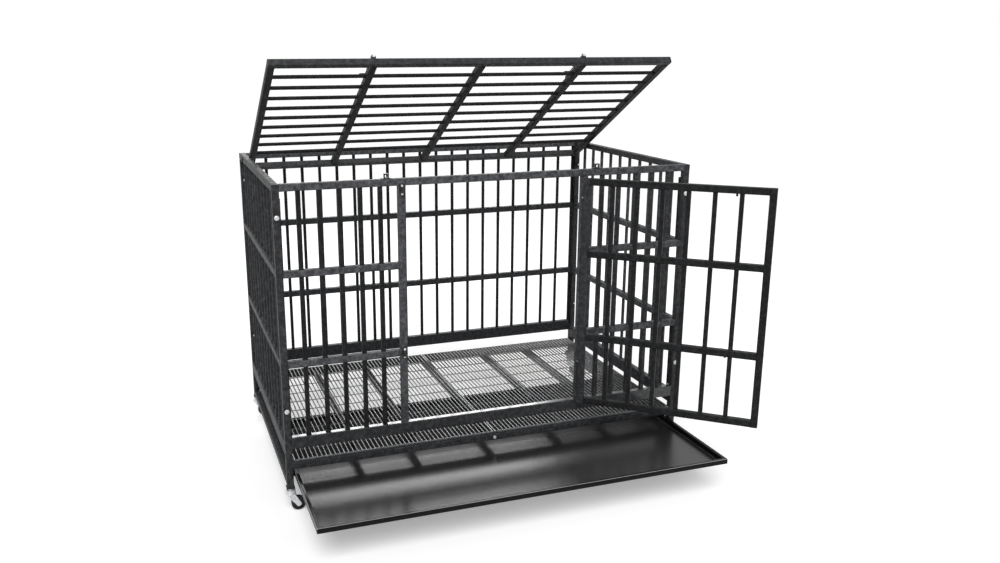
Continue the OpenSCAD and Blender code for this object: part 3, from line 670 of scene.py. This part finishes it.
def makeGrate(name, side):
    bm = bmesh.new()
    wire, cross, border = grate["wire"], grate["cross"], grate["border"]
    x0, x1, y = grate["gap"], grate["x"], grate["y"]
    low = grate["z"]
    high = low + cross + wire
    clear = x1 - x0 - 2 * border + wire
    n = round(clear / grate["pitch"])
    level = high - wire / 2
    for i in range(1, n):
        x = side * (x0 + border + i * clear / n - wire / 2)
        addWire(bm, (x, -y + border / 2, level), (x, y - border / 2, level), wire)
    clear = 2 * y - 2 * border + cross
    n = round(clear / grate["crossPitch"])
    level = low + cross / 2
    for i in range(1, n):
        place = -y + border + i * clear / n - cross / 2
        a, b = side * (x0 + border / 2), side * (x1 - border / 2)
        addWire(bm, (a, place, level), (b, place, level), cross)
    for x in (x0, x1 - border):
        a, b = sorted((side * x, side * (x + border)))
        addTube(bm, "y", (a, -y, low), (b, y, high), grate["corner"], grate["end"])
    for place in (-y, y - border):
        a, b = sorted((side * (x0 + border), side * (x1 - border)))
        addTube(bm, "x", (a, place, low), (b, place + border, high), grate["corner"])
    return finishPiece(name + "_wires", bm, "frame", (wireCoat,), [name])


makeGrate("left_floor_grate", -1)
makeGrate("right_floor_grate", 1)


# tray: one sheet, with walls folded up, a rim folded out and a skirt folded down
tray = {"x": 587, "y0": -690, "depth": 710, "z0": 95.3, "height": 18.5, "rim": 9, "skirt": 14.5, "sheet": 1.5,
        "fold": 2.2, "slope": 0.6, "highlightTilt": (0.3, 0.97)}


def makeTray():
    bm = bmesh.new()
    bottom = bmesh.ops.create_grid(bm, x_segments=1, y_segments=1, size=0.5)["verts"]
    panLength = 2 * (tray["x"] - tray["rim"] - tray["sheet"]) * mm
    panWidth = (tray["depth"] - 2 * tray["rim"] - 2 * tray["sheet"]) * mm
    bmesh.ops.scale(bm, vec=(panLength, panWidth, 1), verts=bottom)
    middle = Vector((0, tray["y0"] + tray["depth"] / 2, tray["z0"] + tray["sheet"])) * mm
    bmesh.ops.translate(bm, vec=middle, verts=bottom)
    grow = tray["rim"] + tray["sheet"]
    steps = ((tray["height"] - tray["sheet"] - tray["slope"], 0), (tray["slope"], grow), (-tray["skirt"], 0))
    for rise, out in steps:
        edges = [e for e in bm.edges if e.is_boundary]
        made = bmesh.ops.extrude_edge_only(bm, edges=edges)["geom"]
        for v in [g for g in made if isinstance(g, bmesh.types.BMVert)]:
            v.co.z += rise * mm
            v.co.x += math.copysign(out * mm, v.co.x)
            v.co.y += math.copysign(out * mm, v.co.y - middle.y)
    bevelEdges(bm, [e for e in bm.edges if len(e.link_faces) == 2], tray["fold"], segments=3)
    bmesh.ops.recalc_face_normals(bm, faces=bm.faces)
    if max(bm.faces, key=lambda f: f.calc_area()).normal.z < 0:
        bmesh.ops.reverse_faces(bm, faces=bm.faces)
    reach = tray["fold"] + tray["sheet"]
    edge = Vector((tray["x"] - reach, tray["depth"] / 2 - reach)) * mm
    steep, level = tray["highlightTilt"]
    for face in bm.faces:
        # walls, rim and skirt are painted a darker, flatter black as shade, and the fold at the outer edge
        # gets a painted highlight
        out = face.calc_center_median() - middle
        if steep < face.normal.z < level and (abs(out.x) > edge.x or abs(out.y) > edge.y):
            face.material_index = 2
        elif out.z > tray["fold"] * mm:
            face.material_index = 1
    finishes = (trayEnamel, shadedRimEnamel, foldHighlightEnamel)
    piece = finishPiece("tray_sheet", bm, "tray", finishes, ["tray"])
    thick = piece.modifiers.new("sheet", "SOLIDIFY")
    thick.thickness = tray["sheet"] * mm
    thick.offset = -1.0
    piece.modifiers.move(len(piece.modifiers) - 1, 0)
    return piece


makeTray()
print("floor and tray made")


# barrel bolts: base plate, three pressed loops and a sliding bolt with its handle
barrel = {"plate": (116, 16, 2), "plateCorner": 2.5, "plateEdge": 0.35, "setBack": 4, "loops": (2, 59, 105),
          "loopLength": 9, "loopSteps": 12, "wall": 2.4, "slack": 0.1, "seat": 0.5, "rise": 7.5, "bolt": 8,
          "boltRound": 1.2, "tip": -4, "end": 132, "worn": 16, "handle": 6, "handleAt": 99, "handleReach": 20,
          "handleRound": 1.6, "screw": (2.6, 2.6, 1.4), "screwAt": 22, "screwSink": 0.4}


def raiseFaces(bm, faces, rise):
    # draws the faces out by so much in Z, and gives the faces at the new end
    drawn = bmesh.ops.extrude_face_region(bm, geom=faces)["geom"]
    verts = [g for g in drawn if isinstance(g, bmesh.types.BMVert)]
    bmesh.ops.translate(bm, vec=(0, 0, rise * mm), verts=verts)
    return [g for g in drawn if isinstance(g, bmesh.types.BMFace)]


def addLoop(bm, x):
    # strap bent over the bolt
    inside = barrel["bolt"] / 2 + barrel["slack"]
    outside = inside + barrel["wall"]
    length, rise = barrel["loopLength"], barrel["rise"]
    low = barrel["plate"][2] - barrel["seat"]
    foot = bmesh.ops.create_grid(bm, x_segments=1, y_segments=1, size=0.5)["verts"]
    bmesh.ops.scale(bm, vec=(length * mm, barrel["wall"] * mm, 1), verts=foot)
    bmesh.ops.translate(bm, vec=Vector((x + length / 2, -(inside + outside) / 2, low)) * mm, verts=foot)
    faces = distinct(f for v in foot for f in v.link_faces)
    top = raiseFaces(bm, faces, rise - low)
    bent = bmesh.ops.spin(bm, geom=top, cent=(0, 0, rise * mm), axis=(-1, 0, 0), angle=math.pi,
                          steps=barrel["loopSteps"])["geom_last"]
    raiseFaces(bm, [g for g in bent if isinstance(g, bmesh.types.BMFace)], low - rise)


def addScrewHead(bm, x):
    size = Matrix.Diagonal([a * mm for a in barrel["screw"]] + [1.0])
    place = moveTo(x, 0, barrel["plate"][2] - barrel["screwSink"])
    bmesh.ops.create_uvsphere(bm, u_segments=12, v_segments=8, radius=1.0, matrix=place @ size)


def addHousing(bm):
    length, width, thick = barrel["plate"]
    addTube(bm, "z", (0, -width / 2, 0), (length, width / 2, thick), barrel["plateCorner"],
            barrel["plateEdge"])
    for x in barrel["loops"]:
        addLoop(bm, x)
    for side in (-1, 1):
        addScrewHead(bm, barrel["loops"][1] + side * barrel["screwAt"])
    bmesh.ops.remove_doubles(bm, verts=bm.verts, dist=tiny)
    bmesh.ops.recalc_face_normals(bm, faces=bm.faces)


def addSlidingBolt(bm):
    tip, end, rise = barrel["tip"], barrel["end"], barrel["rise"]
    half, grip, reach = barrel["bolt"] / 2, barrel["handle"] / 2, barrel["handleReach"]
    place = moveTo((tip + end) / 2, 0, rise) @ Matrix.Rotation(math.pi / 2, 4, "Y")
    addCone(bm, half, half, end - tip, segments=32, place=place, caps=True)
    bevelEdges(bm, convexEdges(bm), barrel["boltRound"], segments=3)
    before = set(bm.verts)
    place = moveTo(barrel["handleAt"], reach / 2, rise) @ Matrix.Rotation(-math.pi / 2, 4, "X")
    addCone(bm, grip, grip, reach, segments=24, place=place, caps=True)
    rims = [e for e in convexEdges(bm) if e.verts[0] not in before]
    bevelEdges(bm, rims, barrel["handleRound"], segments=4)
    # the tip is rubbed down to the zinc under the black
    worn = barrel["worn"] * mm
    everything = list(bm.verts) + list(bm.edges) + list(bm.faces)
    bmesh.ops.bisect_plane(bm, geom=everything, dist=tiny, plane_co=(worn, 0, 0), plane_no=(1, 0, 0))
    for face in bm.faces:
        face.material_index = 1 if face.calc_center_median().x < worn else 0


def toLidTop(x):
    place = moveTo(x, -lid["halfWidth"] + barrel["setBack"], crate["top"])
    return place @ Matrix.Rotation(math.pi / 2, 4, "Z")


def toDoorFace(z):
    flip = Matrix.Rotation(math.pi / 2, 4, "X") @ Matrix.Diagonal((1, -1, 1, 1))
    return moveTo(-door["halfLength"] + barrel["setBack"], -crate["halfWidth"], z) @ flip


def makeBarrelParts(name, make, places, place, body, move):
    bm = bmesh.new()
    for where in places:
        single = bmesh.new()
        make(single)
        bmesh.ops.transform(single, matrix=place(where), verts=single.verts)
        bmesh.ops.recalc_face_normals(single, faces=single.faces)
        mesh = meshFrom("single", single)
        bm.from_mesh(mesh)
        bpy.data.meshes.remove(mesh)
    move(bm)
    finishes = (latchSteel, zinc) if make is addSlidingBolt else (latchSteel,)
    return finishPiece(name + "_pressed", bm, body, finishes, [name])


lidLatches = (-lid["crossbar"], lid["crossbar"])
doorLatches = (crate["midRails"][0] + tube / 2, door["z1"] - tube / 2)
makeBarrelParts("lid_bolt_housings", addHousing, lidLatches, toLidTop, "lid", raiseLid)
for name, latch in zip(("left_lid_bolt", "right_lid_bolt"), lidLatches):
    makeBarrelParts(name, addSlidingBolt, [latch], toLidTop, name, raiseLid)
makeBarrelParts("door_bolt_housings", addHousing, doorLatches, toDoorFace, "door", swingDoor)
for name, latch in zip(("lower_door_bolt", "upper_door_bolt"), doorLatches):
    makeBarrelParts(name, addSlidingBolt, [latch], toDoorFace, name, swingDoor)
print("barrel bolts made")


# small hardware: CAD shapes with their edges broken by so many mm
softNodes = {"left_tray_runner": (0.4, charcoalCoat, "frame_coat"),
             "right_tray_runner": (0.4, charcoalCoat, "frame_coat"),
             "post_end_caps": (1.0, capPlastic, "cap_plastic"), "panel_bolts": (0.3, zinc, "zinc"),
             # the foot bolts and panel nuts are zinc like the other bolts, but take the dark latch finish as
             # painted shade
             "foot_bolts": (0.3, latchSteel, "latch_steel"), "panel_nuts": (0.4, latchSteel, "latch_steel"),
             "beam_bolts": (0.6, zinc, "zinc"), "lid_pivot_bolts": (0.8, latchSteel, "latch_steel"),
             "lid_pivot_washers": (0.2, zinc, "zinc"), "lid_keepers": (0.5, latchSteel, "latch_steel"),
             "door_keepers": (0.5, latchSteel, "latch_steel"), "keeper_screws": (0.5, zinc, "zinc"),
             "hinge_post_knuckles": (0.7, charcoalCoat, "frame_coat"),
             "hinge_door_knuckles": (0.7, charcoalCoat, "frame_coat"),
             "hinge_pins": (0.6, zinc, "zinc"), "caster_stems": (0.6, zinc, "zinc")}
for corner in corners:
    softNodes[corner + "_fork"] = (0.5, zinc, "zinc")
    softNodes[corner + "_axle"] = (0.5, zinc, "zinc")
for name, (radius, material, slot) in softNodes.items():
    softenNode(name, radius, material)


# caster wheels: turned profile with a rounded tread
wheel = {"radius": 20, "half": 8, "tread": 6, "round": 2.4, "roundFrom": 3, "web": 4, "rimFlare": 1.2,
         "hub": 6, "hubHalf": 9.2, "hubFlare": 0.8, "bore": 3.06, "trail": 20, "steps": 48}


def makeWheel(corner):
    sx = -1 if "left" in corner else 1
    sy = -1 if "front" in corner else 1
    bm = bmesh.new()
    radius, half, web = wheel["radius"], wheel["half"], wheel["web"]
    hub, hubHalf = wheel["hub"], wheel["hubHalf"]
    rim = radius - wheel["tread"]
    side = [(wheel["bore"], hubHalf), (hub, hubHalf), (hub + wheel["hubFlare"], web),
            (rim - wheel["rimFlare"], web), (rim, half), (radius, half)]
    profile = [(a, -b) for a, b in side] + [(a, b) for a, b in reversed(side)]
    verts = [bm.verts.new((a * mm, b * mm, 0)) for a, b in profile]
    edges = [bm.edges.new((verts[i], verts[(i + 1) % len(verts)])) for i in range(len(verts))]
    bmesh.ops.spin(bm, geom=verts + edges, cent=(0, 0, 0), axis=(0, 1, 0), angle=2 * math.pi,
                   steps=wheel["steps"], use_merge=True)
    bmesh.ops.remove_doubles(bm, verts=bm.verts, dist=tiny)
    bmesh.ops.recalc_face_normals(bm, faces=bm.faces)
    tread = (rim + wheel["roundFrom"]) * mm
    outer = [e for e in convexEdges(bm) if min(Vector((v.co.x, 0, v.co.z)).length for v in e.verts) > tread]
    bevelEdges(bm, outer, wheel["round"], segments=4)
    x = sx * (crate["halfLength"] - tube / 2) + wheel["trail"]
    y = sy * (crate["halfWidth"] - tube / 2)
    bmesh.ops.translate(bm, vec=Vector((x, y, radius)) * mm, verts=bm.verts)
    name = corner + "_wheel"
    return finishPiece(name + "_turned", bm, nodes[name]["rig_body"], (wheelPlastic,), [name])


for corner in corners:
    makeWheel(corner)
print("hardware and casters made")


# studio: pale floor, soft light from above and in front, lamps behind, camera at the photograph's place
studio = {"floor": "#ededed", "floorSize": 120, "floorRough": 0.9, "floorShine": 0.1, "backdrop": "#ffffff",
          "world": 0.25, "room": 0.35, "roomEdge": 0.3, "glow": 0.35}
sky = {"from": (-0.32, -0.82, 1.0), "strength": 2.4, "angle": 38}
lamps = {"front": {"place": (2.4, -3.4, 2.6), "aim": (0, 0, 0.5), "size": (2.4, 2.4), "power": 16},
         "back": {"place": (0.6, 3.2, 1.9), "aim": (0.0, -0.3, 0.3), "size": (2.2, 1.0), "power": 20},
         "strip": {"place": (0.8, 3.1, 1.75), "aim": (0.0, -0.3, 0.3), "size": (1.8, 0.4), "power": 14}}
camera = {"place": (-917.2, -2703.4, 1255.0), "turn": 19.429, "tilt": 14.946, "lens": 33.109,
          "shift": (0.0356, 0.0070), "sensor": 36, "reach": 200}


def makeFloor():
    bm = bmesh.new()
    bmesh.ops.create_grid(bm, x_segments=1, y_segments=1, size=studio["floorSize"] / 2)
    floor = addObject("floor", meshFrom("floor", bm))
    material = bpy.data.materials.new("pale studio floor")
    material.use_nodes = True
    tree = material.node_tree
    shader = tree.nodes["Principled BSDF"]
    shader.inputs["Base Color"].default_value = hexColor(studio["floor"])
    shader.inputs["Roughness"].default_value = studio["floorRough"]
    shader.inputs["Specular IOR Level"].default_value = studio["floorShine"]
    # the camera and reflections see a little glow, so the lit floor reaches white and keeps its shadow
    path = addNode(tree, "LightPath")
    glossy = addNode(tree, "Math", settings={"operation": "MULTIPLY"}, values={1: studio["room"]},
                     links={0: path.outputs["Is Glossy Ray"]})
    seen = addNode(tree, "Math", settings={"operation": "MAXIMUM"},
                   links={0: path.outputs["Is Camera Ray"], 1: glossy.outputs[0]})
    glow = addNode(tree, "Math", settings={"operation": "MULTIPLY"}, values={1: studio["glow"]},
                   links={0: seen.outputs[0]})
    light = addNode(tree, "Emission", links={"Strength": glow.outputs[0]})
    both = addNode(tree, "AddShader", links={0: shader.outputs[0], 1: light.outputs[0]})
    tree.links.new(both.outputs[0], tree.nodes["Material Output"].inputs["Surface"])
    floor.data.materials.append(material)


def makeWorld():
    world = bpy.data.worlds.new("studio")
    bpy.context.scene.world = world
    world.use_nodes = True
    tree = world.node_tree
    back = tree.nodes["Background"]
    path = addNode(tree, "LightPath")
    # reflections see the white backdrop behind the crate and a dimmer room in front of it
    side = addNode(tree, "SeparateXYZ", links={0: addNode(tree, "TexCoord").outputs["Generated"]})
    room = addNode(tree, "MapRange", links={"Value": side.outputs["Y"]},
                   values={"From Min": -studio["roomEdge"], "From Max": studio["roomEdge"],
                           "To Min": studio["room"], "To Max": 1.0})
    glossy = addNode(tree, "Math", settings={"operation": "MULTIPLY"},
                     links={0: path.outputs["Is Glossy Ray"], 1: room.outputs["Result"]})
    clear = addNode(tree, "Math", settings={"operation": "MAXIMUM"},
                    links={0: path.outputs["Is Camera Ray"], 1: path.outputs["Is Transmission Ray"]})
    seen = addNode(tree, "Math", settings={"operation": "MAXIMUM"},
                   links={0: clear.outputs[0], 1: glossy.outputs[0]})
    diffuse = addNode(tree, "Math", settings={"operation": "MULTIPLY"}, values={1: studio["world"]},
                      links={0: path.outputs["Is Diffuse Ray"]})
    level = addNode(tree, "Math", settings={"operation": "MAXIMUM"},
                    links={0: seen.outputs[0], 1: diffuse.outputs[0]})
    tree.links.new(level.outputs[0], back.inputs["Strength"])
    back.inputs["Color"].default_value = hexColor(studio["backdrop"])


def lookAlong(line):
    # turn that points a lamp along the line
    return line.to_track_quat("-Z", "Y").to_euler()


def makeLamps():
    sun = bpy.data.lights.new("softSky", "SUN")  # wide and even, like a large bank overhead
    sun.energy = sky["strength"]
    sun.angle = math.radians(sky["angle"])
    bank = addObject("softSky", sun)
    bank.rotation_euler = lookAlong(-Vector(sky["from"]))
    for name, look in lamps.items():
        light = bpy.data.lights.new(name, "AREA")
        light.shape = "RECTANGLE"
        light.size, light.size_y = look["size"]
        light.energy = look["power"]
        lamp = addObject(name, light)
        lamp.location = look["place"]
        lamp.rotation_euler = lookAlong(Vector(look["aim"]) - Vector(look["place"]))
        lamp.visible_camera = False


def makeCamera():
    lens = bpy.data.cameras.new("photoCamera")
    lens.sensor_width = camera["sensor"]
    lens.lens = camera["lens"]
    lens.shift_x, lens.shift_y = camera["shift"]
    lens.clip_end = camera["reach"]
    eye = addObject("photoCamera", lens)
    eye.location = Vector(camera["place"]) * mm
    eye.rotation_euler = (math.radians(90 - camera["tilt"]), 0, math.radians(-camera["turn"]))
    bpy.context.scene.camera = eye


makeFloor()
makeWorld()
makeLamps()
makeCamera()
bpy.context.scene.view_settings.view_transform = "Standard"
print("studio set")
